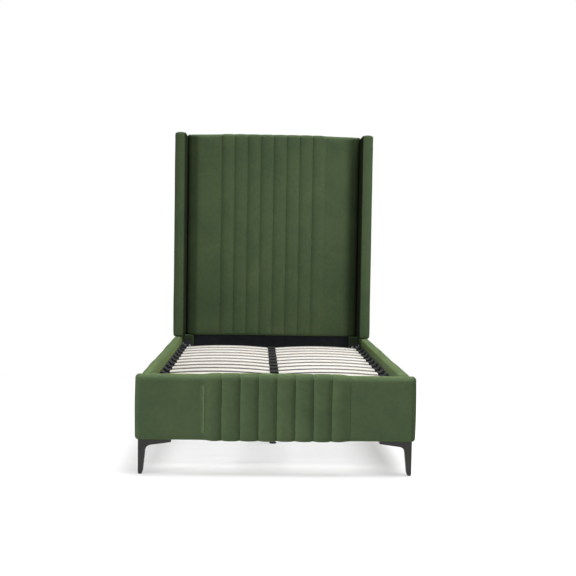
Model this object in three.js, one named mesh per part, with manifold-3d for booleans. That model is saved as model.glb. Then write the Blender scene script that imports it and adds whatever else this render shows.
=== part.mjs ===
// Upholstered wing-back bed frame for a 1200 x 1900 mattress, in millimetres.
// +X is the right side seen from the foot, +Y points to the head end, +Z is up.
// The origin is on the floor, under the middle of the bed.

import * as THREE from 'three';
import { RoundedBoxGeometry } from 'three/addons/geometries/RoundedBoxGeometry.js';
import { mergeVertices } from 'three/addons/utils/BufferGeometryUtils.js';
import Module from 'manifold-3d';

const wasm = await Module();
wasm.setup();

// ---- Driving dimensions ----
const bedWidth = 1340; // across the footboard
const bedLength = 2060; // footboard face to the back of the headboard
const bedHeight = 1842; // floor to the top of the headboard panel
const frameTop = 481; // top of footboard and side rails
const legHeight = 171; // clear height under footboard and side rails
const mattressWidth = 1200; // clear width between the side rails
const fitGap = 0.3; // between pieces that touch

// ---- Footboard ----
const footFace = -bedLength / 2;
const footThickness = 70;
const footInner = footFace + footThickness;
const footRadius = 20;
const footBoardThickness = 30;
const footPadding = 35; // from the board's ends and top to the outside of the cover

// ---- Headboard ----
const headBack = bedLength / 2;
const headThickness = 76;
const headFace = headBack - headThickness;
const headRise = 0.5; // the upper parts stand this far above the frame's top
const panelRadius = 16;
const panelPadding = 20; // padding round the timber frame
const timberWidth = 60; // stiles and cross members of the timber frame
const panelSheet = 8; // plywood sheet behind the padding
const clothThickness = 1;

// ---- Wings ----
const wingThickness = 72;
const wingDrop = 6; // the wings stop this far below the panel's top
const wingDepth = 209;
const wingOuter = 655.5;
const wingInner = wingOuter - wingThickness;
const wingRadius = 14;
const wingBoardThickness = 24;

// ---- Headboard base: two covered posts and a lined panel between them ----
const postWidth = 120;
const postRadius = 6;
const basePanelThickness = 40;
const basePanelRecess = 6;

// ---- Side rails ----
const railThickness = 50;
const railInner = mattressWidth / 2;
const railOuter = railInner + railThickness;
const railRadius = 12;
const railBoardThickness = 24;

// ---- Slat base ----
const slatRows = 12;
const slatWidth = 63;
const slatThickness = 8;
const slatCrown = 14; // rise of the bowed slat at mid span
const slatSteps = 8;
const steel = 3; // sheet thickness of ledges, brackets and holders
const ledgeTop = 400;
const ledgeWidth = 40;
const ledgeFlange = 35;
const cornerClear = 70; // the ledges stop short of both ends of the bay
const capBase = 3; // strip that joins the slat caps
const capLength = 72;
const capPocket = 12; // height of the pocket that takes a slat's end
const capGrip = 14; // how far a slat goes into its cap
const sideCapDepth = 33;
const centreCapHalf = 24;
const slatInnerEnd = 12;

// ---- Centre rail and its adjustable legs ----
const centreRailWidth = 40;
const centreRailHeight = 60;
const tubeWall = 2;
const holderDepth = 34;
const holderPlate = 62;
const supportOffset = 265; // from the middle of the bay to each centre leg
const supportRadius = 16;
const supportPlate = 4;
const supportPlateLength = 76;
const padRadius = 20;
const padHeight = 8;
const collarHeight = 7.6;
const collarRadius = 7.5; // a hexagon 13 across its flats
const screwRadius = 3.9;
const screwBore = 4.4;
const screwTop = 60;
const spigotRadius = 3.4;
const spigotDepth = 3.7;
const roundSides = 24;

// ---- Corner brackets ----
const bracketFlange = 60;
const bracketLow = 360;
const bracketHigh = 440;

// ---- Front legs: a tapering blade with a long flange under the footboard ----
const legInset = 13; // from the footboard's end to the leg's outer edge
const legFlange = 157;
const legDepth = 38;
const legSetback = 20; // from the footboard's face to the leg's face
const legFlangeTip = 14;
const legBevel = 2.5;
const legFootTaper = 0.66; // depth at the floor over depth at the flange
const legInnerEdge = 31; // blade width at the top of its straight stretch
const legFootEdge = 21; // blade width at the floor

// ---- Worked-out places ----
const bayLength = headFace - footInner;
const bayMiddle = (headFace + footInner) / 2;
const slatPitch = bayLength / (slatRows + 1);
const slatSeat = ledgeTop + fitGap + capBase;
const slatOuterEnd = railInner - fitGap * 2 - steel - sideCapDepth + capGrip;
const slatLength = slatOuterEnd - slatInnerEnd;
const sides = [['left', -1], ['right', 1]];

// ---- Materials ----
function paint(color, roughness, metalness) {
  return new THREE.MeshStandardMaterial({ color, roughness, metalness });
}

const velvet = paint(0x46573c, 0.9, 0);
const lining = paint(0x191c20, 0.95, 0);
const timber = paint(0xb99a6b, 0.7, 0);
const slatWood = paint(0xe9e4da, 0.55, 0);
const blackSteel = paint(0x1c1d1e, 0.5, 0.8);
const legMetal = paint(0x41413f, 0.45, 0.9);
const capPlastic = paint(0x15161a, 0.55, 0);
const zincSteel = paint(0xb4b6b8, 0.35, 1);
const padRubber = paint(0x101010, 0.8, 0);

const bed = new THREE.Group();

function addPiece(name, material, geometry, position = [0, 0, 0]) {
  const piece = new THREE.Mesh(geometry, material);
  piece.name = name;
  piece.position.set(...position);
  bed.add(piece);
}

// ---- Shape helpers ----
// A solid that the boolean library can join and cut.
function toSolid(geometry) {
  const plain = geometry.clone();
  plain.deleteAttribute('normal');
  plain.deleteAttribute('uv');
  const welded = mergeVertices(plain, 1e-3);
  return new wasm.Manifold(new wasm.Mesh({
    numProp: 3,
    vertProperties: new Float32Array(welded.attributes.position.array),
    triVerts: new Uint32Array(welded.index.array),
  }));
}

function toGeometry(solid) {
  const mesh = solid.getMesh();
  const geometry = new THREE.BufferGeometry();
  geometry.setAttribute('position', new THREE.BufferAttribute(mesh.vertProperties, 3));
  geometry.setIndex(new THREE.BufferAttribute(mesh.triVerts, 1));
  geometry.computeVertexNormals();
  return geometry;
}

// The size and the middle of the box between two corners.
function spanOf(low, high) {
  const size = high.map((value, axis) => value - low[axis]);
  const middle = high.map((value, axis) => (value + low[axis]) / 2);
  return { size, middle };
}

function boxBetween(low, high) {
  const { size, middle } = spanOf(low, high);
  return new THREE.BoxGeometry(...size).translate(...middle);
}

function softBoxBetween(low, high, radius) {
  const { size, middle } = spanOf(low, high);
  return new RoundedBoxGeometry(...size, 2, radius).translate(...middle);
}

// A padded cover: a soft-edged box with a pocket for the board inside it.
function cover(low, high, radius, pocketLow, pocketHigh) {
  const body = toSolid(softBoxBetween(low, high, radius));
  return toGeometry(body.subtract(toSolid(boxBetween(pocketLow, pocketHigh))));
}

// A shape drawn in X and Z, given a depth along Y and centred on Y = 0.
function standingExtrusion(shape, depth, options = {}) {
  const geometry = new THREE.ExtrudeGeometry(shape, { depth, bevelEnabled: false, ...options });
  return geometry.translate(0, 0, -depth / 2).rotateX(Math.PI / 2);
}

function outline(points) {
  return new THREE.Shape(points.map(([x, y]) => new THREE.Vector2(x, y)));
}

function slatRowY(row) {
  return footInner + slatPitch * row;
}

// ---- Upholstered pieces and the boards inside them ----
function addFootboard() {
  const half = bedWidth / 2;
  const boardHalf = half - footPadding;
  const boardTop = frameTop - footPadding;
  const boardFront = footFace + (footThickness - footBoardThickness) / 2;
  const boardBack = boardFront + footBoardThickness;
  const coverGeometry = cover(
    [-half, footFace, legHeight],
    [half, footInner, frameTop],
    footRadius,
    [-boardHalf - fitGap, boardFront - fitGap, legHeight - footRadius],
    [boardHalf + fitGap, boardBack + fitGap, boardTop + fitGap],
  );
  addPiece('footboard_cover', velvet, coverGeometry);
  const board = boxBetween([-boardHalf, boardFront, legHeight], [boardHalf, boardBack, boardTop]);
  addPiece('footboard_board', timber, board);
}

function addSideRail(name, side) {
  const height = frameTop - legHeight;
  const length = bayLength - 2 * fitGap;
  const boardHigh = frameTop - railThickness / 2;
  const half = railThickness / 2;
  const boardHalf = railBoardThickness / 2;
  const margin = half - boardHalf;
  const boardReach = length / 2 - margin;
  const coverGeometry = cover(
    [-half, -length / 2, 0],
    [half, length / 2, height],
    railRadius,
    [-boardHalf - fitGap, -boardReach - fitGap, -railRadius],
    [boardHalf + fitGap, boardReach + fitGap, boardHigh - legHeight + fitGap],
  );
  const place = [side * (railInner + half), bayMiddle, legHeight];
  addPiece(`${name}_rail_cover`, velvet, coverGeometry, place);
  const board = boxBetween(
    [-boardHalf, -boardReach, 0],
    [boardHalf, boardReach, boardHigh - legHeight],
  );
  addPiece(`${name}_rail_board`, timber, board, place);
}

// A timber frame with a plywood sheet on its front, open at the back.
function timberFrame(halfWidth, low, high, front, back) {
  let frame = toSolid(boxBetween([-halfWidth, front, low], [halfWidth, back, high]));
  const bayWidth = halfWidth - timberWidth * 1.5;
  const bayHeight = (high - low - timberWidth * 4) / 3;
  for (let level = 0; level < 3; level += 1) {
    const bottom = low + timberWidth + level * (bayHeight + timberWidth);
    for (const side of [-1, 1]) {
      const nearX = side * timberWidth / 2;
      const farX = side * (timberWidth / 2 + bayWidth);
      const bay = boxBetween(
        [Math.min(nearX, farX), front + panelSheet, bottom],
        [Math.max(nearX, farX), back + 1, bottom + bayHeight],
      );
      frame = frame.subtract(toSolid(bay));
    }
  }
  return toGeometry(frame);
}

function addHeadboardPanel() {
  const half = wingInner - fitGap;
  const low = frameTop + headRise;
  const back = headBack - clothThickness - fitGap;
  const boardHalf = half - panelPadding;
  const boardLow = low + panelPadding;
  const boardHigh = bedHeight - panelPadding;
  const boardFront = headFace + panelPadding;
  const coverGeometry = cover(
    [-half, headFace, low],
    [half, back, bedHeight],
    panelRadius,
    [-boardHalf - fitGap, boardFront - fitGap, boardLow - fitGap],
    [boardHalf + fitGap, back + 1, boardHigh + fitGap],
  );
  addPiece('headboard_cover', velvet, coverGeometry);
  const frame = timberFrame(boardHalf, boardLow, boardHigh, boardFront, back);
  addPiece('headboard_frame', timber, frame);
  const hem = panelRadius / 2;
  const cloth = boxBetween(
    [-half + hem, headBack - clothThickness, low + hem],
    [half - hem, headBack, bedHeight - hem],
  );
  addPiece('headboard_back_cloth', lining, cloth);
}

function addWing(name, side) {
  const low = frameTop + headRise;
  const height = bedHeight - wingDrop - low;
  const half = wingThickness / 2;
  const boardHalf = wingBoardThickness / 2;
  const margin = half - boardHalf;
  const coverGeometry = cover(
    [-half, -wingDepth / 2, 0],
    [half, wingDepth / 2, height],
    wingRadius,
    [-boardHalf - fitGap, -wingDepth / 2 + margin - fitGap, -wingRadius],
    [boardHalf + fitGap, wingDepth / 2 - margin + fitGap, height - margin + fitGap],
  );
  const place = [side * (wingOuter - half), headBack - wingDepth / 2, low];
  addPiece(`${name}_wing_cover`, velvet, coverGeometry, place);
  const board = boxBetween(
    [-boardHalf, -wingDepth / 2 + margin, 0],
    [boardHalf, wingDepth / 2 - margin, height - margin],
  );
  addPiece(`${name}_wing_board`, timber, board, place);
}

function addHeadboardBase() {
  for (const [name, side] of sides) {
    const inner = side * (railOuter - postWidth);
    const outer = side * railOuter;
    const post = softBoxBetween(
      [Math.min(inner, outer), headFace, 0],
      [Math.max(inner, outer), headBack, frameTop],
      postRadius,
    );
    addPiece(`${name}_headboard_post`, velvet, post);
  }
  const panelHalf = railOuter - postWidth - fitGap;
  const front = headFace + basePanelRecess;
  const panel = boxBetween(
    [-panelHalf, front, legHeight],
    [panelHalf, front + basePanelThickness, frameTop],
  );
  addPiece('headboard_base_panel', lining, panel);
}

// ---- Metal ledges, brackets and legs ----
function addLedge(name, side) {
  const wall = side * (railInner - fitGap);
  const sheet = side * (railInner - fitGap - steel);
  const lip = side * (railInner - ledgeWidth);
  const section = outline([
    [wall, ledgeTop - steel],
    [wall, ledgeTop + ledgeFlange],
    [sheet, ledgeTop + ledgeFlange],
    [sheet, ledgeTop],
    [lip, ledgeTop],
    [lip, ledgeTop - steel],
  ]);
  const length = bayLength - 2 * cornerClear;
  addPiece(`${name}_slat_ledge`, blackSteel, standingExtrusion(section, length), [0, bayMiddle, 0]);
}

// An angle plate in a corner of the bay: one flange on the rail, one on the end.
function addCornerBracket(name, side, cornerY, inward) {
  const wall = side * (railInner - fitGap);
  const end = cornerY + inward * fitGap;
  const section = outline([
    [wall, end],
    [wall, end + inward * bracketFlange],
    [wall - side * steel, end + inward * bracketFlange],
    [wall - side * steel, end + inward * steel],
    [wall - side * bracketFlange, end + inward * steel],
    [wall - side * bracketFlange, end],
  ]);
  const depth = bracketHigh - bracketLow;
  const geometry = new THREE.ExtrudeGeometry(section, { depth, bevelEnabled: false });
  addPiece(name, blackSteel, geometry, [0, 0, bracketLow]);
}

// The leg's front outline. u runs from the leg's outer edge towards the middle of the bed.
function legOutline(side) {
  const at = (u, z) => [-side * u, z];
  const top = legHeight - fitGap - legBevel;
  const outerEdge = legBevel;
  const shape = new THREE.Shape();
  shape.moveTo(...at(outerEdge, top));
  shape.lineTo(...at(legFlange - legBevel, top));
  shape.lineTo(...at(legFlange - legBevel, legHeight - legFlangeTip));
  shape.lineTo(...at(2 * legInnerEdge, legHeight - 27));
  shape.quadraticCurveTo(
    ...at(legInnerEdge + 4, legHeight - 31),
    ...at(legInnerEdge, legHeight - 58),
  );
  shape.lineTo(...at(legFootEdge, 14));
  shape.lineTo(...at(legFootEdge - 6, legBevel));
  shape.lineTo(...at(outerEdge + 3, legBevel));
  shape.lineTo(...at(outerEdge, 10));
  return shape;
}

function addFrontLeg(name, side) {
  const depth = legDepth - 2 * legBevel;
  const blade = standingExtrusion(legOutline(side), depth, {
    bevelEnabled: true,
    bevelThickness: legBevel,
    bevelSize: legBevel,
    bevelSegments: 1,
    curveSegments: 6,
  });
  const points = blade.attributes.position;
  for (let i = 0; i < points.count; i += 1) {
    const rise = points.getZ(i) / legHeight;
    points.setY(i, points.getY(i) * THREE.MathUtils.lerp(legFootTaper, 1, rise));
  }
  const outerX = side * (bedWidth / 2 - legInset);
  addPiece(name, legMetal, blade, [outerX, footFace + legSetback + legDepth / 2, 0]);
}

// ---- Slats and the caps that hold them ----
// A bowed slat: a thin band whose two faces follow the same shallow parabola.
function slatGeometry() {
  const rise = (x) => slatCrown * (1 - (2 * x / slatLength) ** 2);
  const below = [];
  const above = [];
  for (let step = 0; step <= slatSteps; step += 1) {
    const x = -slatLength / 2 + slatLength * step / slatSteps;
    below.push([x, rise(x)]);
    above.unshift([x, rise(x) + slatThickness]);
  }
  return standingExtrusion(outline([...below, ...above]), slatWidth);
}

function addSlats() {
  for (const [name, side] of sides) {
    for (let row = 1; row <= slatRows; row += 1) {
      const place = [side * (slatInnerEnd + slatLength / 2), slatRowY(row), slatSeat + fitGap];
      addPiece(`${name}_slat_${String(row).padStart(2, '0')}`, slatWood, slatGeometry(), place);
    }
  }
}

// A strip with one pocketed cap for each slat row. The section is drawn in X and Z.
function capStrip(section, stripLow, stripHigh, pocketLow, pocketHigh, reach) {
  const base = boxBetween(
    [stripLow, bayMiddle - reach, ledgeTop + fitGap],
    [stripHigh, bayMiddle + reach, slatSeat],
  );
  let strip = toSolid(base);
  for (let row = 1; row <= slatRows; row += 1) {
    const y = slatRowY(row);
    const block = standingExtrusion(section, capLength).translate(0, y, 0);
    strip = strip.add(toSolid(block));
  }
  for (let row = 1; row <= slatRows; row += 1) {
    const y = slatRowY(row);
    const halfSlot = slatWidth / 2 + 1;
    for (let i = 0; i < pocketLow.length; i += 1) {
      const slot = boxBetween(
        [pocketLow[i], y - halfSlot, slatSeat],
        [pocketHigh[i], y + halfSlot, slatSeat + capPocket],
      );
      strip = strip.subtract(toSolid(slot));
    }
  }
  return toGeometry(strip);
}

function addSideCaps(name, side) {
  const wall = railInner - 2 * fitGap - steel;
  const nose = wall - sideCapDepth;
  const low = ledgeTop + fitGap;
  const section = outline([
    [side * wall, low],
    [side * wall, low + 31],
    [side * (wall - 11), low + 29],
    [side * (wall - 14), low + 20],
    [side * nose, low + 18],
    [side * nose, low],
  ]);
  const deep = side * (nose + capGrip + 1);
  const open = side * (nose - 5);
  const reach = bayLength / 2 - cornerClear;
  const strip = capStrip(
    section,
    Math.min(side * wall, side * (nose + 10)),
    Math.max(side * wall, side * (nose + 10)),
    [Math.min(deep, open)],
    [Math.max(deep, open)],
    reach,
  );
  addPiece(`${name}_slat_caps`, capPlastic, strip);
}

function addCentreCaps() {
  const low = ledgeTop + fitGap;
  const half = centreCapHalf;
  const section = outline([
    [-half, low],
    [half, low],
    [half, low + 17],
    [half - 6, low + 19],
    [5, low + 19],
    [0, low + 17],
    [-5, low + 19],
    [6 - half, low + 19],
    [-half, low + 17],
  ]);
  const web = slatInnerEnd - 1;
  const strip = capStrip(
    section,
    -centreRailWidth / 2,
    centreRailWidth / 2,
    [-half - 5, web],
    [-web, half + 5],
    bayLength / 2 - cornerClear,
  );
  addPiece('centre_slat_caps', capPlastic, strip);
}

// ---- Centre rail, its end holders and its two adjustable legs ----
function addCentreRail() {
  const half = centreRailWidth / 2;
  const low = ledgeTop - centreRailHeight;
  const section = outline([[-half, low], [half, low], [half, ledgeTop], [-half, ledgeTop]]);
  const bore = half - tubeWall;
  section.holes.push(new THREE.Path([
    new THREE.Vector2(-bore, low + tubeWall),
    new THREE.Vector2(-bore, ledgeTop - tubeWall),
    new THREE.Vector2(bore, ledgeTop - tubeWall),
    new THREE.Vector2(bore, low + tubeWall),
  ]));
  const start = footInner + steel + 2 * fitGap;
  const end = headFace + basePanelRecess - steel - 2 * fitGap;
  const rail = standingExtrusion(section, end - start);
  addPiece('centre_rail', blackSteel, rail, [0, (start + end) / 2, 0]);
}

// A cradle on the end wall of the bay that the centre rail drops into.
function addRailHolder(name, wallY, inward) {
  const half = centreRailWidth / 2 + fitGap;
  const low = ledgeTop - centreRailHeight - fitGap;
  const high = ledgeTop - 15;
  const section = outline([
    [-half - steel, low - steel],
    [half + steel, low - steel],
    [half + steel, high],
    [half, high],
    [half, low],
    [-half, low],
    [-half, high],
    [-half - steel, high],
  ]);
  const near = wallY + inward * fitGap;
  const cradleMiddle = near + inward * holderDepth / 2;
  const cradle = standingExtrusion(section, holderDepth).translate(0, cradleMiddle, 0);
  const plateEnds = [near, near + inward * steel];
  const plate = boxBetween(
    [-holderPlate / 2, Math.min(...plateEnds), low - steel],
    [holderPlate / 2, Math.max(...plateEnds), high],
  );
  addPiece(name, blackSteel, toGeometry(toSolid(cradle).add(toSolid(plate))));
}

// A closed turned piece from its profile of [radius, height] points.
function turned(points) {
  const profile = points.map(([radius, height]) => new THREE.Vector2(radius, height));
  return new THREE.LatheGeometry(profile, roundSides).rotateX(Math.PI / 2);
}

function addCentreLeg(name, y) {
  const legLow = padHeight + fitGap + collarHeight + fitGap;
  const plateLow = ledgeTop - centreRailHeight - fitGap - supportPlate;
  const tubeInner = supportRadius - tubeWall;
  const plugTop = 44;
  const tube = turned([
    [0, plateLow - 10],
    [tubeInner, plateLow - 10],
    [tubeInner, plugTop],
    [screwBore, plugTop],
    [screwBore, legLow],
    [supportRadius, legLow],
    [supportRadius, plateLow + 1],
    [0, plateLow + 1],
  ]);
  const halfPlate = supportPlateLength / 2;
  const plate = boxBetween(
    [-centreRailWidth / 2, -halfPlate, plateLow],
    [centreRailWidth / 2, halfPlate, plateLow + supportPlate],
  );
  const leg = toGeometry(toSolid(tube).add(toSolid(plate)));
  addPiece(`${name}_centre_leg`, blackSteel, leg, [0, y, 0]);

  const collarLow = padHeight + fitGap;
  const collarHigh = collarLow + collarHeight;
  const rod = turned([
    [0, padHeight - spigotDepth],
    [spigotRadius, padHeight - spigotDepth],
    [spigotRadius, collarLow + 1],
    [screwRadius, collarLow + 1],
    [screwRadius, screwTop - 1.5],
    [screwRadius - 1.5, screwTop],
    [0, screwTop],
  ]);
  const collar = new THREE.CylinderGeometry(collarRadius, collarRadius, collarHeight, 6)
    .rotateX(Math.PI / 2)
    .translate(0, 0, (collarLow + collarHigh) / 2);
  const screw = toGeometry(toSolid(rod).add(toSolid(collar)));
  addPiece(`${name}_levelling_screw`, zincSteel, screw, [0, y, 0]);

  const socket = spigotRadius + 0.4;
  const pad = turned([
    [0, 0],
    [padRadius - 2, 0],
    [padRadius, 2],
    [padRadius, padHeight - 3],
    [padRadius - 6, padHeight],
    [socket, padHeight],
    [socket, padHeight - spigotDepth - fitGap],
    [0, padHeight - spigotDepth - fitGap],
  ]);
  addPiece(`${name}_foot_pad`, padRubber, pad, [0, y, 0]);
}

// ---- The whole bed ----
addFootboard();
addHeadboardPanel();
addHeadboardBase();
for (const [name, side] of sides) {
  addSideRail(name, side);
  addWing(name, side);
  addLedge(name, side);
  addSideCaps(name, side);
  addFrontLeg(`${name}_front_leg`, side);
  addCornerBracket(`${name}_front_bracket`, side, footInner, 1);
  addCornerBracket(`${name}_rear_bracket`, side, headFace, -1);
}
addSlats();
addCentreCaps();
addCentreRail();
addRailHolder('front_rail_holder', footInner, 1);
addRailHolder('rear_rail_holder', headFace + basePanelRecess, -1);
addCentreLeg('front', bayMiddle - supportOffset);
addCentreLeg('rear', bayMiddle + supportOffset);

export default bed;
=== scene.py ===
"""Looks for the upholstered bed frame: velvet covers, slat base, metal fittings, floor, light and camera.

All places are in metres in the CAD frame: +X right seen from the foot, +Y to the head end, +Z up.
"""
import itertools
import math

import bpy
import numpy as np
from mathutils import Matrix, Vector, noise


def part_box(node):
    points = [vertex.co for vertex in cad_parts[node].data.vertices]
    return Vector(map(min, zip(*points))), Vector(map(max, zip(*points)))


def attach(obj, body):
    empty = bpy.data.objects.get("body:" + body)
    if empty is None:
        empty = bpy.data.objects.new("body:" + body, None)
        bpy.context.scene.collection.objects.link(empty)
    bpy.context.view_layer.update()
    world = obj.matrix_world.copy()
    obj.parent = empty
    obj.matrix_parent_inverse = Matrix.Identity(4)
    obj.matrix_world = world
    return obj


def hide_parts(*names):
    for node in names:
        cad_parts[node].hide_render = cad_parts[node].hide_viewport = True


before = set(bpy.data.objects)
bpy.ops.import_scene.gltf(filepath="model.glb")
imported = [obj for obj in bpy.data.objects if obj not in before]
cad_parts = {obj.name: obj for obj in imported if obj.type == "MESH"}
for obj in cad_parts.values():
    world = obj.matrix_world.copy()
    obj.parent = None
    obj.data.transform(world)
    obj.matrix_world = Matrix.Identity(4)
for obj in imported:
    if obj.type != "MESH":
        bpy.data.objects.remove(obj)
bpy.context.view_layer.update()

# ---- Camera ----
CAMERA_PLACE = Vector((-0.091, -5.568, 1.110))
CAMERA_YAW = math.radians(1.75)  # towards +X
CAMERA_PITCH = math.radians(2.64)  # downwards
CAMERA_ROLL = math.radians(0.90)
CAMERA_LENS = 60.0  # on a 36 mm sensor

FLOOR_HALF = 2.2
FLOOR_FRONT = -2.5
FLOOR_BACK = 2.2
FLOOR_GLOW = 0.40  # the floor is a lit white sheet, so that shadows on it stay pale

WORLD_LIGHT = 0.03  # the white beyond the floor is seen at full strength and lights at this one
WHITE = (1.0, 1.0, 1.0)

# ---- Upholstery ----
ARC_STEPS = 3  # mesh steps over half of a rounded edge
PAINTED_SHADE_TINT = (0.32, 0.30, 0.32)  # painted shade: the tint that darkens the velvet where wing and panel meet, and on the posts' fronts under the wings
SHEEN = 0.12  # of the velvet; the shaded copy on the wings' inner faces has none, which paints them darker
SHEEN_TINT = (0.62, 0.79, 0.24, 1.0)
POCKET_GAP = 0.0004  # between a cover and the board inside it
CREASE_MARKS = (-0.013, -0.0075, -0.0035, 0.0, 0.0035, 0.0075, 0.013)  # grid lines beside a seam
NO_MARKS = ((), (), ())
CHANNEL_PITCH = 0.0876
CHANNEL_COUNT = 8
FOOT_CHANNEL_CENTRE = 0.003
HEAD_CHANNEL_CENTRE = -0.003
PANEL_CORNER_FILL = 0.0048
PANEL_FIELD_DROP = 0.005  # the plain fields stand this far below the CAD panel's top
TUCK_LOW = 0.206  # the short sewn tucks beside the footboard's channels
TUCK_HIGH = 0.430
TUCK_SPREAD = 0.0058
TUCK_RIDGE = 0.0026  # height and width of the ridge on each side of a tuck
FOOT_RIB = 0.0060  # the height of a footboard channel's wall, and of the crown on it
PANEL_RIB = 0.0085
PANEL_CROWN = 0.0022
RIB_CREASE = 0.0062  # how far a seam's crease reaches into a channel
FOOT_CORNER_FILL = 0.0042  # makes the footboard's corners squarer in outline than its rolled edges

# ---- Slat base and fittings ----
SIDES = (("left", -1), ("right", 1))
ENDS = (("front", 1), ("rear", -1))  # with the direction towards the middle of the bed
SLAT_ROWS = 12
SLAT_STEPS = 28
SLAT_CROWN = 0.014
SLAT_ROUND = 0.0018
SLAT_VENEER = 0.0016  # one layer of the laminated slat
SLAT_TOPS_PAINTED_SHADE = (0.595, 0.595, 0.590)  # painted shade: the top and bottom faces darker than the cut edges
VENEER_GLUE = (0.93, 0.90, 0.86)  # tint of the glue lines
CAP_RIB_HALF = 0.0012
CAP_RIB_REACH = 0.030
RAIL_INNER = 0.600
SHEET_STEEL = 0.003
BRACKET_FLANGE = 0.060
LEG_HEIGHT = 0.171
LEG_TAPER = 0.66  # depth at the floor over depth at the flange
FLANGE_ROOT = (0.064, 0.1413)  # the flange's underside, from the leg's outer edge and the floor
FLANGE_TIP = (0.157, 0.1545)
FILLET_STEPS = 12
BOOT_HEIGHT = 0.007
GLIDE_HEIGHT = 0.004
FIT_GAP = 0.0003
COLLAR_HEIGHT = 0.0076
THREAD_PITCH = 0.00125
THREAD_DEPTH = 0.0006
PAD_RIBS = 36
STAPLE_PITCH = 0.060


# ---- Small helpers ----
def box_of(node):
    """The two corners of a CAD node as arrays."""
    low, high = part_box(node)
    return np.array(low), np.array(high)


def middle_of(node):
    low, high = box_of(node)
    return (low + high) / 2


def new_object(name, mesh, body="root", material=None):
    """An object that rides on a CAD body, with its material."""
    piece = bpy.data.objects.new(name, mesh)
    bpy.context.scene.collection.objects.link(piece)
    if material:
        piece.data.materials.append(material)
    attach(piece, body)
    return piece


def mesh_from(name, points, faces, smooth=True):
    mesh = bpy.data.meshes.new(name)
    mesh.from_pydata([tuple(map(float, p)) for p in points], [], faces)
    mesh.validate()
    mesh.update()
    if smooth:
        mesh.shade_smooth()
    else:
        mesh.shade_flat()
    return mesh


def coordinates(mesh):
    flat = np.empty(len(mesh.vertices) * 3, np.float32)
    mesh.vertices.foreach_get("co", flat)
    return flat.reshape(-1, 3).astype(float)


def set_coordinates(mesh, points):
    mesh.vertices.foreach_set("co", np.asarray(points, np.float32).ravel())
    mesh.update()


def smoothstep(low, high, value):
    t = np.clip((value - low) / (high - low), 0, 1)
    return t * t * (3 - 2 * t)


def add_bevel(piece, width, segments=2, angle=30):
    bevel = piece.modifiers.new("edges", "BEVEL")
    bevel.width = width
    bevel.segments = segments
    bevel.limit_method = "ANGLE"
    bevel.angle_limit = math.radians(angle)
    bevel.harden_normals = True
    return bevel


# ---- Materials ----
def grey(value):
    return (value, value, value)


def start_material(name):
    material = bpy.data.materials.new(name)
    material.use_nodes = True
    tree = material.node_tree
    return material, tree, tree.nodes["Principled BSDF"]


def feed(tree, socket, source):
    """Links a socket to another node's output, or gives it a plain value."""
    if isinstance(source, bpy.types.NodeSocket):
        tree.links.new(source, socket)
    else:
        socket.default_value = source


def feed_all(tree, node, **sources):
    """Feeds a node's inputs by name; the names use _ for a space."""
    for key, source in sources.items():
        feed(tree, node.inputs[key.replace("_", " ")], source)
    return node


def add_node(tree, kind, **sources):
    return feed_all(tree, tree.nodes.new(kind), **sources)


def object_space(tree, scale=(1, 1, 1)):
    """Object coordinates, stretched by scale."""
    source = tree.nodes.new("ShaderNodeTexCoord")
    mapping = add_node(tree, "ShaderNodeMapping", Vector=source.outputs["Object"], Scale=scale)
    return mapping.outputs["Vector"]


def noise_of(tree, vector, scale, detail=3.0, roughness=0.5, distortion=0.0):
    node = add_node(
        tree, "ShaderNodeTexNoise",
        Vector=vector, Scale=scale, Detail=detail, Roughness=roughness, Distortion=distortion,
    )
    return node.outputs["Fac"]


def ramp_of(tree, factor, stops):
    """A colour ramp through (position, rgb) stops."""
    node = add_node(tree, "ShaderNodeValToRGB", Fac=factor)
    ramp = node.color_ramp
    while len(ramp.elements) < len(stops):
        ramp.elements.new(0.5)
    for element, (position, rgb) in zip(ramp.elements, stops):
        element.position = position
        element.color = (*rgb, 1.0)
    return node.outputs["Color"]


def shaded(tree, tone, factor, stops):
    """A colour multiplied by a ramp over factor."""
    node = tree.nodes.new("ShaderNodeMix")
    node.data_type = "RGBA"
    node.blend_type = "MULTIPLY"
    sources = (1.0, tone, ramp_of(tree, factor, stops))
    for socket, source in zip((node.inputs[0], node.inputs[6], node.inputs[7]), sources):
        feed(tree, socket, source)
    return node.outputs[2]


def bump_of(tree, height, strength, distance, under=None):
    node = add_node(tree, "ShaderNodeBump", Height=height, Strength=strength, Distance=distance)
    if under:
        tree.links.new(under, node.inputs["Normal"])
    return node.outputs["Normal"]


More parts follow.
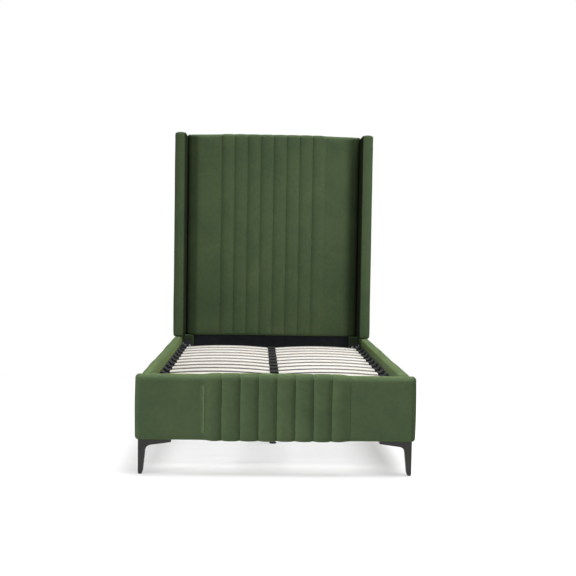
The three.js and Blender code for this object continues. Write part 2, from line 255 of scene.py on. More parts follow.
def velvet_material(name, sheen):
    """Short-pile moss velvet: nap patches, fine mottling, upright fibres, a soft sheen and painted shade
    where the cover's shade mask is set.
    """
    material, tree, shader = start_material(name)
    space = object_space(tree)
    nap = noise_of(tree, space, 4.5, 4.0, 0.55, 0.6)
    mottle = noise_of(tree, space, 55.0, 3.0, 0.6)
    fibre = noise_of(tree, object_space(tree, (1.0, 1.0, 0.45)), 1500.0, 2.0, 0.7)
    painted_shade_mask = tree.nodes.new("ShaderNodeAttribute")
    painted_shade_mask.attribute_name = "painted_shade"
    tone = ramp_of(tree, nap, [
        (0.30, (0.045, 0.070, 0.035)),
        (0.52, (0.053, 0.079, 0.038)),
        (0.74, (0.063, 0.090, 0.042)),
    ])
    tone = shaded(tree, tone, mottle, [(0.35, grey(0.90)), (0.65, WHITE)])
    tone = shaded(tree, tone, fibre, [(0.35, grey(0.84)), (0.68, WHITE)])
    # Painted shade: darkens the colour where the cover's shade mask is set, in the joints between wings and
    # panel
    tone = shaded(tree, tone, painted_shade_mask.outputs["Fac"], [(0.0, WHITE), (1.0, PAINTED_SHADE_TINT)])
    feed_all(
        tree, shader,
        Base_Color=tone,
        Roughness=ramp_of(tree, nap, [(0.3, grey(0.80)), (0.7, grey(0.92))]),
        Normal=bump_of(tree, fibre, 0.35, 0.0005, bump_of(tree, nap, 0.25, 0.0020)),
        Specular_IOR_Level=0.06,
        Sheen_Weight=sheen,
        Sheen_Roughness=0.42,
        Sheen_Tint=SHEEN_TINT,
    )
    return material


# ---- Padded covers ----
def stops_along(low, high, radius, step, marks=()):
    """Grid stops from low to high: an even arc at each end, every mark kept, even steps between."""
    turn = math.pi / 4
    arc = [radius * (1 - math.tan(turn * k / ARC_STEPS)) for k in range(ARC_STEPS, 0, -1)]
    first, last = low + radius, high - radius
    fixed = sorted({first, last, *(m for m in marks if first + 1e-4 < m < last - 1e-4)})
    flat = []
    for start, end in zip(fixed, fixed[1:]):
        count = max(1, round((end - start) / step))
        flat += [start + (end - start) * k / count for k in range(count)]
    return np.array([low + a for a in arc] + flat + [last] + [high - a for a in reversed(arc)])


def shell_grid(low, high, radius, step, marks):
    """A rounded box as a quad grid: its points, outward directions, box-side coordinates and quads."""
    axes = [stops_along(low[a], high[a], radius, step[a], marks[a]) for a in range(3)]
    index = {}

    def vertex(key):
        return index.setdefault(key, len(index))

    quads = []
    for axis in range(3):
        u, v = (axis + 1) % 3, (axis + 2) % 3
        for end in (0, len(axes[axis]) - 1):
            for i in range(len(axes[u]) - 1):
                for j in range(len(axes[v]) - 1):
                    keys = []
                    for di, dj in ((0, 0), (1, 0), (1, 1), (0, 1)):
                        key = [0, 0, 0]
                        key[axis], key[u], key[v] = end, i + di, j + dj
                        keys.append(vertex(tuple(key)))
                    quads.append(keys if end else keys[::-1])
    keys = np.array(list(index))
    flat = np.stack([axes[a][keys[:, a]] for a in range(3)], axis=1)
    core = np.clip(flat, np.array(low) + radius, np.array(high) - radius)
    out = flat - core
    out /= np.linalg.norm(out, axis=1, keepdims=True)
    return core + out * radius, out, flat, quads


def sink_pocket(points, flat, quads, axis, side, low, high, depth):
    """Cuts the board's pocket: part of one face moves down to the pocket's floor, with walls."""
    others = [a for a in range(3) if a != axis]
    edge = flat[:, axis].min() if side < 0 else flat[:, axis].max()
    middles = flat[np.array(quads)].mean(1)
    over = np.abs(middles[:, axis] - edge) < 1e-6
    for a in others:
        over &= (middles[:, a] > low[a]) & (middles[:, a] < high[a])
    kept = [quad for quad, sunk in zip(quads, over) if not sunk]
    sunk = [quad for quad, is_sunk in zip(quads, over) if is_sunk]
    twin = {}
    for quad in sunk:
        for number in quad:
            twin.setdefault(number, len(points) + len(twin))
    floor = points[list(twin)].copy()
    floor[:, axis] = depth
    inner_edges = {(quad[k], quad[(k + 1) % 4]) for quad in sunk for k in range(4)}
    for first, second in inner_edges:
        if (second, first) not in inner_edges:
            kept.append([first, second, twin[second], twin[first]])
    kept += [[twin[number] for number in quad] for quad in sunk]
    return np.concatenate([points, floor]), kept


def swollen(piece, held, cap, pressure=4.0, frames=20):
    """Cloth under pressure: held points stay, and the others move out by at most cap."""
    scene = bpy.context.scene
    start = coordinates(piece.data)
    group = piece.vertex_groups.new(name="held")
    for number in np.flatnonzero(held > 0.5):
        group.add([int(number)], 1.0, "REPLACE")
    cloth = piece.modifiers.new("cloth", "CLOTH")
    settings = cloth.settings
    settings.quality = 4
    settings.mass = 0.4
    settings.tension_stiffness = 12
    settings.compression_stiffness = 12
    settings.shear_stiffness = 4
    settings.bending_stiffness = 0.3
    settings.use_pressure = True
    settings.uniform_pressure_force = pressure
    settings.vertex_group_mass = "held"
    settings.effector_weights.gravity = 0
    cloth.collision_settings.use_collision = False
    cloth.point_cache.frame_start = 1
    cloth.point_cache.frame_end = frames
    for number in range(1, frames + 1):
        scene.frame_set(number)
    shaped = piece.evaluated_get(bpy.context.evaluated_depsgraph_get())
    end = coordinates(shaped.data)
    piece.modifiers.remove(cloth)
    piece.vertex_groups.remove(group)
    scene.frame_set(1)
    move = end - start
    length = np.linalg.norm(move, axis=1)
    allowed = cap * np.tanh(length / np.maximum(cap, 1e-6))
    move *= (allowed / np.maximum(length, 1e-9))[:, None]
    set_coordinates(piece.data, start + move)


def channel_height(x, seams, depth, crown, crease):
    """Height of the sewn channels at each x: nothing at a seam, full between the seams."""
    seams = np.asarray(seams)
    inside = (x > seams[0]) & (x < seams[-1])
    which = np.clip(np.searchsorted(seams, x, side="right") - 1, 0, len(seams) - 2)
    left, right = seams[which], seams[which + 1]
    u = np.clip((x - left) / (right - left), 0, 1)
    near = np.minimum(u, 1 - u) * (right - left)
    wall = 1 - np.exp(-((near / crease) ** 1.2))
    return np.where(inside, depth * wall + crown * (1 - np.abs(2 * u - 1) ** 3), 0.0)


def seam_places(centre):
    half = CHANNEL_PITCH * CHANNEL_COUNT / 2
    return [centre - half + CHANNEL_PITCH * k for k in range(CHANNEL_COUNT + 1)]


def distance_to(places, x):
    """How far each x is from the nearest of the places."""
    return np.min([np.abs(x - place) for place in places], axis=0)


def between(seams, x, low, high):
    """Rises from 0 to 1 inside the outermost seams, over low to high from each."""
    return smoothstep(low, high, x - seams[0]) * smoothstep(low, high, seams[-1] - x)


def facing(out):
    """How much each point faces the front, the top and the floor, and is clear of the back and the ends."""
    front = np.clip(-out[:, 1] * 1.4, 0, 1)
    top = np.clip(out[:, 2] * 1.4, 0, 1)
    under = np.clip(-out[:, 2] * 1.4, 0, 1)
    off_back = 1 - smoothstep(0.2, 0.9, out[:, 1])
    off_ends = 1 - smoothstep(0.3, 0.95, np.abs(out[:, 0]))
    return front, top, under, off_back, off_ends


def corner_filling(out, amount):
    """Squares the outline of the rolled corners."""
    return amount * 4 * (out[:, 0] * out[:, 2]) ** 2


def soft_waves(points, scale, amount, seed):
    """The gentle unevenness of hand-laid padding."""
    shift = Vector((seed * 7.3, seed * 3.1, seed * 5.7))
    return np.array([noise.noise(Vector(p) * scale + shift) for p in points]) * amount


def seam_wobble(flat, scale, amount, seed):
    """How far the seams stray sideways along their length."""
    channel = np.round(flat[:, 0] / CHANNEL_PITCH)
    return soft_waves(np.stack([channel, channel * 0, flat[:, 2]], 1), scale, amount, seed)


def crowned(flat, low, high, axis, amount):
    """A crown over a face across the two other axes, zero at the face's edges."""
    height = np.full(len(flat), amount)
    for other in range(3):
        if other != axis:
            u = np.clip((flat[:, other] - low[other]) / (high[other] - low[other]), 0, 1)
            height *= (4 * u * (1 - u)) ** 0.45
    return height


def build_cover(
    name, node, board, shape, material,
    *, low, high, radius, step, marks, pocket_side=(2, -1), painted_shade_mask=None,
):
    """One padded cover with a pocket for its board, which goes in on the axis and side of pocket_side.

    shape(flat, out) gives each point's move, which points are held, and how far the cloth may move.
    The shade mask, when given, says how much painted shade darkens each point.
    """
    points, out, flat, quads = shell_grid(low, high, radius, step, marks)
    move, held, cap = shape(flat, out)
    swelled, faces = points + move, quads
    if board:
        axis, side = pocket_side
        board_low, board_high = box_of(board)
        depth = board_high[axis] + POCKET_GAP if side < 0 else board_low[axis] - POCKET_GAP
        pocket = (board_low - POCKET_GAP, board_high + POCKET_GAP)
        swelled, faces = sink_pocket(swelled, flat, quads, axis, side, *pocket, depth)
    piece = new_object(name, mesh_from(name, swelled, faces), material=material)
    extra = len(swelled) - len(points)
    # Painted shade: stored on the points for the velvet's colour; the pocket's points get full shade
    if painted_shade_mask:
        shade = piece.data.attributes.new("painted_shade", "FLOAT", "POINT")
        painted_dark = np.concatenate([painted_shade_mask(flat, out), np.ones(extra)])
        shade.data.foreach_set("value", painted_dark.astype(np.float32))
    held = np.concatenate([held.astype(float), np.ones(extra)])
    swollen(piece, held, np.concatenate([cap, np.zeros(extra)]))
    smooth = piece.modifiers.new("smooth", "SUBSURF")
    smooth.levels = 1
    smooth.render_levels = 1
    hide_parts(node)
    return piece


def pocket_marks(board):
    """Grid lines at the pocket's edges, so that it is cut on the grid."""
    low, high = box_of(board)
    return [(low[a] - POCKET_GAP, high[a] + POCKET_GAP) for a in range(3)]


def footboard_cover(material):
    """The footboard: eight channels between plain ends, a tuck on the left, a low step on the right."""
    low, high = box_of("footboard_cover")
    seams = seam_places(FOOT_CHANNEL_CENTRE)
    inner_seams, outer_seams = seams[1:-1], (seams[0], seams[-1])
    reach = [seams[0] - 0.06, *inner_seams, seams[-1] + 0.06]
    marks = pocket_marks("footboard_board")
    across = [s + m for s in inner_seams for m in CREASE_MARKS]
    tuck_marks = (-2.4, -1.5, -1.0, -0.5, 0.0, 0.5, 1.0, 1.5, 2.4)
    across += [s + m * TUCK_SPREAD for s in outer_seams for m in tuck_marks]
    marks[0] = (*marks[0], *across)
    marks[2] = (*marks[2], TUCK_LOW, TUCK_HIGH)

    def shape(flat, out):
        x, z = flat[:, 0], flat[:, 2]
        front, top, under, off_back, off_ends = facing(out)
        wavy_x = x + seam_wobble(flat, 6.0, 0.0016, 1)
        flank = between(seams, x, -0.006, 0.055)
        cover = np.maximum(front, np.maximum(top, under * 0.8)) * off_back * off_ends
        ribs = channel_height(wavy_x, reach, FOOT_RIB, FOOT_RIB, RIB_CREASE)
        level = FOOT_RIB * flank
        rise = ribs * flank * front + level * np.maximum(top, 0.7 * under) * (1 - front)
        over_top = channel_height(wavy_x, reach, 0.0022, 0.0, 0.0050) - 0.0022
        swell = (rise + over_top * flank * top * (1 - front)) * cover
        swell += crowned(flat, low, high, 0, 0.0056) * np.abs(out[:, 0]) ** 2
        swell += corner_filling(out, FOOT_CORNER_FILL)
        right_end = x - seams[-1]
        step = smoothstep(-0.050, -0.004, right_end) * (1 - smoothstep(-0.001, 0.003, right_end))
        swell += 0.0018 * step * front
        tuck_start = smoothstep(TUCK_LOW - 0.006, TUCK_LOW, z)
        tuck_end = smoothstep(TUCK_HIGH, TUCK_HIGH + 0.006, z)
        tuck_zone = (x < 0) * tuck_start * (1 - tuck_end)
        outer = distance_to(outer_seams, x)
        ridge = np.exp(-(((outer - TUCK_SPREAD) / TUCK_RIDGE) ** 2)) * TUCK_RIDGE
        swell += ridge * tuck_zone * front
        swell += crowned(flat, low, high, 1, 0.0018) * front * (1 - 0.6 * flank)
        swell += under * off_back * 0.0035 * off_ends
        swell += soft_waves(flat, 5.0, 0.0012, 2) * (front + 0.5 * top) * off_ends
        seam = distance_to(inner_seams, wavy_x) < 0.002
        held = (seam & (cover > 0.05)) | (out[:, 1] > 0.5) | (out[:, 2] < -0.9)
        held |= (outer < 0.016) & (tuck_zone > 0.3)
        cap = np.where(out[:, 1] > 0.3, 0.0003, 0.0014) * (1 - 0.9 * under)
        return out * swell[:, None], held, cap

    return build_cover(
        "footboard_upholstery", "footboard_cover", "footboard_board", shape, material,
        low=low, high=high, radius=0.021, step=(0.012, 0.012, 0.008), marks=marks,
    )


def headboard_cover(material):
    """The tall panel: flat ribs between narrow creases, plain fields that roll back beside the wings."""
    low, high = box_of("headboard_cover")
    high[2] -= PANEL_FIELD_DROP
    seams = seam_places(HEAD_CHANNEL_CENTRE)
    marks = pocket_marks("headboard_frame")
    marks[0] = (*marks[0], *(s + m for s in seams for m in CREASE_MARKS))
    roll = 0.086

    def shape(flat, out):
        x = flat[:, 0]
        front, top, under, off_back, off_ends = facing(out)
        wavy_x = x + seam_wobble(flat, 2.0, 0.0022, 3)
        cover = np.maximum(front, top) * off_back * off_ends
        ribs = channel_height(wavy_x, seams, PANEL_RIB, PANEL_CROWN, RIB_CREASE)
        lift = between(seams, x, -0.004, 0.030)
        tucked_under = 1 - 0.85 * under
        swell = (ribs + 0.0030 * lift * (ribs > 0)) * front * off_back * off_ends * tucked_under
        arch = between(seams, x, -0.16, 0.10)
        over_top = 0.0070 * arch + channel_height(wavy_x, seams, 0.0014, 0.0, 0.0040)
        swell = np.maximum(swell, over_top * top * off_back * off_ends * (1 - 0.6 * front))
        swell += crowned(flat, low, high, 1, 0.0025) * front * off_ends
        swell += soft_waves(flat, 3.2, 0.0016, 4) * front * off_ends
        seam = distance_to(seams, wavy_x) < 0.0018
        held = (seam & (cover > 0.05)) | (out[:, 1] > 0.3) | (out[:, 2] < -0.5)
        held |= np.abs(out[:, 0]) > 0.4
        move = out * (swell + corner_filling(out, PANEL_CORNER_FILL))[:, None]
        inset = np.maximum(np.abs(x) - (high[0] - roll), 0) / roll
        forward = np.clip((high[1] - flat[:, 1]) / (high[1] - low[1]), 0, 1)
        move[:, 1] += 0.026 * inset**1.7 * forward
        return move, held, np.where(held, 0.0, 0.0022)

    # Painted shade on the panel's edges beside the wings, less on the top
    def painted_shade_mask(flat, out):
        near_wing = smoothstep(high[0] - 0.030, high[0] - 0.002, np.abs(flat[:, 0]))
        return 0.85 * near_wing * (1 - 0.8 * np.clip(out[:, 2], 0, 1))

    build_cover(
        "headboard_upholstery", "headboard_cover", "headboard_frame", shape, material,
        low=low, high=high, radius=0.016, step=(0.013, 0.018, 0.015), marks=marks,
        pocket_side=(1, 1), painted_shade_mask=painted_shade_mask,
    )


def wing_cover(name, side, material, painted_dark):
    """A wing: boxed front strip with a seam near each edge, gently crowned sides, painted shade on the
    inner side.
    """
    node = f"{name}_wing_cover"
    low, high = box_of(node)
    marks = pocket_marks(f"{name}_wing_board")
    seam_inset = 0.0125
    strip = [low[0] + seam_inset, high[0] - seam_inset]
    groove_marks = (-0.005, -0.0022, 0.0, 0.0022, 0.005)
    marks[0] = tuple(sorted(s + m for s in strip for m in groove_marks if s + m < high[0] - 0.0075))

    def shape(flat, out):
        x = flat[:, 0]
        front = smoothstep(0.25, 0.95, -out[:, 1])
        box_strip = np.maximum(front, smoothstep(0.25, 0.95, out[:, 2]))
        outer = np.clip(out[:, 0] * side, 0, 1)
        near = distance_to(strip, x)
        swell = -np.exp(-((near / 0.0026) ** 2)) * 0.0022 * box_strip
        middle = np.clip((x - strip[0]) / (strip[1] - strip[0]), 0, 1)
        swell += 4 * middle * (1 - middle) * 0.0016 * box_strip
        swell += crowned(flat, low, high, 0, 0.0022) * outer
        swell += soft_waves(flat, 5.0, 0.0012, 5 + side) * (front + outer)
        held = (near < 0.001) & (box_strip > 0.3)
        held |= (out[:, 1] > 0.5) | (out[:, 2] < -0.3) | (out[:, 0] * side < -0.5)
        return out * swell[:, None], held, np.where(held, 0.0, 0.0018)

    # Painted shade on the inner side, facing the panel
    def painted_shade_mask(_, out):
        return smoothstep(0.15, 0.62, -out[:, 0] * side)

    piece = build_cover(
        f"{name}_wing_upholstery", node, f"{name}_wing_board", shape, material,
        low=low, high=high, radius=0.013, step=(0.010, 0.014, 0.014), marks=marks, painted_shade_mask=painted_shade_mask,
    )
    # The inner faces get a copy of the velvet without sheen, which paints them darker
    piece.data.materials.append(painted_dark)
    for polygon in piece.data.polygons:
        if polygon.normal.x * side < -0.6:
            polygon.material_index = 1


def rail_cover(name, side, material):
    """A side rail: padded outside and top, flat where the ledge and the wing touch it."""
    node = f"{name}_rail_cover"
    low, high = box_of(node)
    wing_front = box_of(f"{name}_wing_cover")[0][1]

    def shape(flat, out):
        y = flat[:, 1]
        outer = np.clip(out[:, 0] * side, 0, 1)
        top = np.clip(out[:, 2], 0, 1)
        clear = 1 - smoothstep(wing_front - 0.05, wing_front - 0.006, y)
        end = smoothstep(low[1], low[1] + 0.03, y)
        swell = crowned(flat, low, high, 0, 0.0035) * outer * end
        swell += 0.0022 * top * clear * end
        swell += soft_waves(flat, 4.0, 0.0022, 9 + side) * (outer + 0.7 * top * clear) * end
        held = (np.abs(out[:, 1]) > 0.3) | (out[:, 2] < -0.6) | (out[:, 0] * side < -0.6)
        held |= (y > wing_front - 0.01) & (out[:, 2] > 0.3)
        return out * swell[:, None], held, np.where(held, 0.0, 0.0025)

    build_cover(
        f"{name}_rail_upholstery", node, f"{name}_rail_board", shape, material,
        low=low, high=high, radius=0.014, step=(0.010, 0.018, 0.013),
        marks=pocket_marks(f"{name}_rail_board"),
    )


# ---- Hard parts ----
def joined(parts):
    """Several (points, faces) pairs as one."""
    points, faces, count = [], [], 0
    for part_points, part_faces in parts:
        points.append(part_points)
        faces += [[number + count for number in face] for face in part_faces]
        count += len(part_points)
    return np.concatenate(points), faces


def block(low, high):
    """A box between two corners."""
    points = np.array(list(itertools.product(*zip(low, high))))
    return points, [[0, 1, 3, 2], [4, 6, 7, 5], [0, 4, 5, 1], [2, 3, 7, 6], [0, 2, 6, 4], [1, 5, 7, 3]]


def rings_closed(points, rings, sides):
    """Faces round a stack of rings, closed by a fan at each end; the two poles come last."""
    faces = []
    foot, top = rings * sides, rings * sides + 1
    last = (rings - 1) * sides
    for k in range(sides):
        after = (k + 1) % sides
        faces.append([foot, after, k])
        for ring in range(rings - 1):
            first, second = ring * sides, (ring + 1) * sides
            faces.append([first + k, first + after, second + after, second + k])
        faces.append([last + k, last + after, top])
    return np.array(points), faces


def turned(profile, place, axis=2, sign=1, sides=24):
    """A closed turned shape: (radius, height) pairs, the first and last of them on the axis."""
    angles = np.arange(sides) * 2 * math.pi / sides
    points = [(r * math.cos(a), r * math.sin(a), h) for r, h in profile[1:-1] for a in angles]
    points += [(0, 0, profile[0][1]), (0, 0, profile[-1][1])]
    points, faces = rings_closed(points, len(profile) - 2, sides)
    points *= (sign, 1, sign)
    return np.roll(points, (axis + 1) % 3, axis=1) + np.array(place), faces


def bolt(place, axis, sign):
    """A round-headed socket bolt on a washer, standing on a surface."""
    washer = [(0, 0), (0.0085, 0), (0.0085, 0.0011), (0.0070, 0.0013)]
    head = [(0.0066, 0.0014), (0.0064, 0.0026), (0.0052, 0.0040), (0.0034, 0.0045), (0.0030, 0.0044)]
    socket = [(0.0028, 0.0024), (0, 0.0024)]
    return turned(washer + head + socket, place, axis, sign)


def screw_head(place, axis, sign, radius=0.0042):
    """A low domed screw head with a recess."""
    profile = [(0, 0), (1, 0), (0.93, 0.22), (0.62, 0.42), (0.34, 0.47), (0.24, 0.2), (0, 0.16)]
    return turned([(r * radius, h * radius) for r, h in profile], place, axis, sign, 16)


def staple(place, along, face):
    """A staple's flat crown; along is the axis it lies on, face the axis it is driven in."""
    half = np.full(3, 0.0005)
    half[along] = 0.0055
    half[face] = 0.0004
    return block(np.array(place) - half, np.array(place) + half)


def hard_piece(name, parts, material, bevel=0.0, body="root", smooth=False):
    """One hard piece from (points, faces) pairs, its edges softened."""
    piece = new_object(name, mesh_from(name, *joined(parts), smooth=smooth), body, material)
    if bevel:
        add_bevel(piece, bevel)
    elif smooth:
        piece.data.set_sharp_from_angle(angle=math.radians(40))
    return piece


def add_screws(name, parts, material):
    hard_piece(name, parts, material, smooth=True)


def dress(node, material, bevel):
    """Gives a CAD node its material, and softens its edges."""
    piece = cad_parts[node]
    piece.data.materials.clear()
    piece.data.materials.append(material)
    add_bevel(piece, bevel)


# ---- Materials of the hard parts ----
def coat_material(name, color, roughness, metallic, grain, strength, spread=0.25):
    """A painted or moulded surface: slight tone change and a fine grain in the bump and roughness."""
    material, tree, shader = start_material(name)
    space = object_space(tree)
    broad = noise_of(tree, space, 6.0, 3.0, 0.6)
    fine = noise_of(tree, space, grain, 2.0, 0.6)
    dark = tuple(c * (1 - spread) for c in color)
    light = tuple(c * (1 + spread) for c in color)
    feed_all(
        tree, shader,
        Base_Color=ramp_of(tree, broad, [(0.3, dark), (0.7, light)]),
        Roughness=ramp_of(tree, fine, [(0.3, grey(roughness - 0.07)), (0.7, grey(roughness + 0.07))]),
        Normal=bump_of(tree, fine, strength, 0.0004),
        Metallic=metallic,
    )
    return material


def math_node(tree, operation, first, second=0.0):
    """A Math node; each input is a number or a socket."""
    node = tree.nodes.new("ShaderNodeMath")
    node.operation = operation
    for socket, source in zip(node.inputs, (first, second)):
        feed(tree, socket, source)
    return node.outputs[0]


def split_of(tree, vector):
    """The three numbers of a vector."""
    return add_node(tree, "ShaderNodeSeparateXYZ", Vector=vector).outputs


def veneer_layers(tree, place):
    """How far each point is through its veneer layer, from 0 to 1, following the slat's bow."""
    low, high = box_of("right_slat_01")
    middle, half = (low[0] + high[0]) / 2, (high[0] - low[0]) / 2
    along = math_node(tree, "SUBTRACT", math_node(tree, "ABSOLUTE", place["X"]), middle)
    share = math_node(tree, "ABSOLUTE", math_node(tree, "DIVIDE", along, half))
    bow = math_node(tree, "MULTIPLY", math_node(tree, "POWER", share, 2.0), -SLAT_CROWN)
    level = math_node(tree, "SUBTRACT", place["Z"], bow)
    height = math_node(tree, "SUBTRACT", level, low[2] + SLAT_CROWN)
    return math_node(tree, "FRACT", math_node(tree, "DIVIDE", height, SLAT_VENEER))


def slat_material():
    """Pale laminated beech: long fine grain, small flecks, thin glue lines on the cut edges, and painted
    shade on its top and bottom faces.
    """
    material, tree, shader = start_material("laminated_beech")
    source = tree.nodes.new("ShaderNodeTexCoord")
    grain = noise_of(tree, object_space(tree, (1.0, 26.0, 26.0)), 9.0, 5.0, 0.62, 0.4)
    board = noise_of(tree, object_space(tree, (0.9, 6.8, 1.0)), 1.0, 1.0)
    fleck = noise_of(tree, object_space(tree, (16.0, 150.0, 150.0)), 5.0, 2.0, 0.5)
    layer = veneer_layers(tree, split_of(tree, source.outputs["Object"]))
    upright = math_node(tree, "ABSOLUTE", split_of(tree, source.outputs["Normal"])["Z"])
    tone = ramp_of(tree, grain, [
        (0.28, (0.67, 0.650, 0.615)),
        (0.50, (0.73, 0.715, 0.690)),
        (0.72, (0.78, 0.770, 0.755)),
    ])
    tone = shaded(tree, tone, board, [(0.3, (0.90, 0.89, 0.87)), (0.7, WHITE)])
    tone = shaded(tree, tone, fleck, [(0.34, (0.80, 0.76, 0.70)), (0.44, WHITE)])
    tone = shaded(tree, tone, layer, [(0.0, VENEER_GLUE), (0.12, WHITE), (0.88, WHITE), (1.0, VENEER_GLUE)])
    # Painted shade: the faces that look up or down are darker than the edges
    tone = shaded(tree, tone, upright, [(0.4, WHITE), (0.8, SLAT_TOPS_PAINTED_SHADE)])
    feed_all(
        tree, shader,
        Base_Color=tone,
        Roughness=ramp_of(tree, grain, [(0.3, grey(0.42)), (0.7, grey(0.52))]),
        Normal=bump_of(tree, grain, 0.15, 0.0004),
        Specular_IOR_Level=0.35,
    )
    return material


def timber_material():
    """Raw softwood: warm growth bands and open grain."""
    material, tree, shader = start_material("raw_softwood")
    stretched = object_space(tree, (0.25, 1.0, 1.0))
    bands = add_node(tree, "ShaderNodeTexWave", Vector=stretched, Scale=14.0, Distortion=3.0, Detail=3.0)
    pores = noise_of(tree, object_space(tree, (8.0, 90.0, 90.0)), 6.0, 4.0)
    tone = ramp_of(tree, bands.outputs["Fac"], [(0.1, (0.50, 0.34, 0.18)), (0.9, (0.62, 0.46, 0.28))])
    feed_all(
        tree, shader,
        Base_Color=shaded(tree, tone, pores, [(0.3, (0.8, 0.78, 0.74)), (0.6, WHITE)]),
        Normal=bump_of(tree, pores, 0.3, 0.0006),
        Roughness=0.72,
    )
    return material


def lining_material():
    """Black spun-bonded lining: pressed dimples and loose fibre clouds."""
    material, tree, shader = start_material("black_lining")
    space = object_space(tree)
    clouds = noise_of(tree, space, 38.0, 5.0, 0.7)
    cells = add_node(tree, "ShaderNodeTexVoronoi", Vector=space, Scale=620.0, Randomness=0.15)
    dimples = cells.outputs["Distance"]
    tone = ramp_of(tree, clouds, [(0.3, (0.0040, 0.0052, 0.0068)), (0.7, (0.0075, 0.0092, 0.0112))])
    feed_all(
        tree, shader,
        Base_Color=shaded(tree, tone, dimples, [(0.15, grey(0.72)), (0.4, WHITE)]),
        Normal=bump_of(tree, dimples, 0.4, 0.0004, bump_of(tree, clouds, 0.3, 0.0008)),
        Roughness=0.88,
        Specular_IOR_Level=0.15,
    )
    return material


def thread_material():
    """Green sewing thread with a twist."""
    material, tree, shader = start_material("sewing_thread")
    twist = add_node(tree, "ShaderNodeTexWave", Vector=object_space(tree), Scale=900.0, Distortion=0.5)
    twist.bands_direction = "DIAGONAL"
    tone = ramp_of(tree, twist.outputs["Fac"], [(0.2, (0.150, 0.220, 0.085)), (0.8, (0.220, 0.310, 0.130))])
    feed_all(tree, shader, Base_Color=tone, Roughness=0.6)
    return material


# ---- Slat base ----
def slat_mesh(name):
    """A bowed slat with rounded long edges, as the CAD node's box gives it."""
    low, high = box_of(name)
    middle, half = (low[0] + high[0]) / 2, (high[0] - low[0]) / 2
    turns = (0, math.pi / 4, math.pi / 2)
    edge = [(SLAT_ROUND * (1 - math.cos(a)), SLAT_ROUND * (1 - math.sin(a))) for a in turns]
    near, far = low[1], high[1]
    base, top = low[2], high[2] - SLAT_CROWN
    section = [(near + dy, base + dz) for dy, dz in edge]
    section += [(far - dy, base + dz) for dy, dz in edge[::-1]]
    section += [(far - dy, top - dz) for dy, dz in edge]
    section += [(near + dy, top - dz) for dy, dz in edge[::-1]]
    points = []
    for step in range(SLAT_STEPS + 1):
        share = 2 * step / SLAT_STEPS - 1
        lift = SLAT_CROWN * (1 - share**2)
        points += [(middle + share * half, y, z + lift) for y, z in section]
    count = len(section)
    faces = []
    for step in range(SLAT_STEPS):
        for k in range(count):
            after = (k + 1) % count
            first, second = step * count, (step + 1) * count
            faces.append([first + k, second + k, second + after, first + after])
    faces.append(list(range(count)))
    faces.append(list(range(SLAT_STEPS * count, (SLAT_STEPS + 1) * count))[::-1])
    return mesh_from(name, points, faces)


def add_slats(material):
    """The two columns of bowed slats."""
    for side_name, _ in SIDES:
        for row in range(1, SLAT_ROWS + 1):
            node = f"{side_name}_slat_{row:02d}"
            piece = new_object(f"{node}_bowed", slat_mesh(node), "root", material)
            piece.data.set_sharp_from_angle(angle=math.radians(50))
            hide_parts(node)


def slat_rows():
    """The Y place of each slat row."""
    return [middle_of(f"right_slat_{row:02d}")[1] for row in range(1, SLAT_ROWS + 1)]


def cap_rib(x, y, low_z, high_z):
    """One moulded rib across a slat cap."""
    half, reach = CAP_RIB_HALF, CAP_RIB_REACH
    return block((x - half, y - reach, low_z), (x + half, y + reach, high_z))


def add_cap_ribs(material):
    """Moulded ribs across the top of every slat cap."""
    shoulder = box_of("centre_slat_caps")[1][2] - 0.0002
    ribs = []
    for y in slat_rows():
        for x in (-0.0165, -0.0105, 0.0105, 0.0165):
            ribs.append(cap_rib(x, y, shoulder - 0.001, shoulder + 0.0011))
    hard_piece("centre_cap_ribs", ribs, material, 0.0004)
    for side_name, side in SIDES:
        low, high = box_of(f"{side_name}_slat_caps")
        nose = min(abs(low[0]), abs(high[0]))
        ribs = []
        for y in slat_rows():
            for offset in (0.0035, 0.0085, 0.0135):
                top = low[2] + 0.0182 + 0.002 * offset / 0.0135
                ribs.append(cap_rib(side * (nose + offset), y, top - 0.0016, top + 0.0008))
        hard_piece(f"{side_name}_cap_ribs", ribs, material, 0.0004)


def add_rail_welt(name, side, material):
    """The thin turned hem of the rail's velvet, along the top of the ledge's flange."""
    low, high = box_of(f"{name}_slat_ledge")
    radius, steps, sides = 0.0021, 90, 8
    middle_x, middle_z = RAIL_INNER - 0.0016, high[2] + 0.0026
    points = []
    for step in range(steps + 1):
        y = low[1] + (high[1] - low[1]) * step / steps
        sway = 0.0004 * math.sin(y * 31.0) + 0.0003 * math.sin(y * 83.0)
        for k in range(sides):
            angle = 2 * math.pi * k / sides
            x = side * (middle_x + radius * 0.75 * math.cos(angle))
            points.append((x, y, middle_z + sway + radius * math.sin(angle)))
    points += [(side * middle_x, y, middle_z) for y in (low[1], high[1])]
    points, faces = rings_closed(points, steps + 1, sides)
    if side > 0:
        faces = [face[::-1] for face in faces]
    piece = new_object(f"{name}_rail_hem", mesh_from("hem", points, faces), "root", material)


# ---- Fittings ----
def add_bracket_bolts(material):
    """Three bolts on one flange of each corner bracket and two on the other."""
    for side_name, side in SIDES:
        for end, inward in ENDS:
            low, high = box_of(f"{side_name}_{end}_bracket")
            wall_x = side * (min(abs(low[0]), abs(high[0])) + BRACKET_FLANGE - SHEET_STEEL)
            corner_y = low[1] if inward > 0 else high[1]
            end_y = corner_y + inward * SHEET_STEEL
            parts = []
            for from_corner, height in ((0.0145, 0.410), (0.0445, 0.410), (0.030, 0.376)):
                parts.append(bolt((side * (RAIL_INNER - from_corner), end_y, height), 1, inward))
            for from_corner, height in ((0.020, 0.424), (0.045, 0.376)):
                parts.append(bolt((wall_x, corner_y + inward * from_corner, height), 0, -side))
            add_screws(f"{side_name}_{end}_bolts", parts, material)


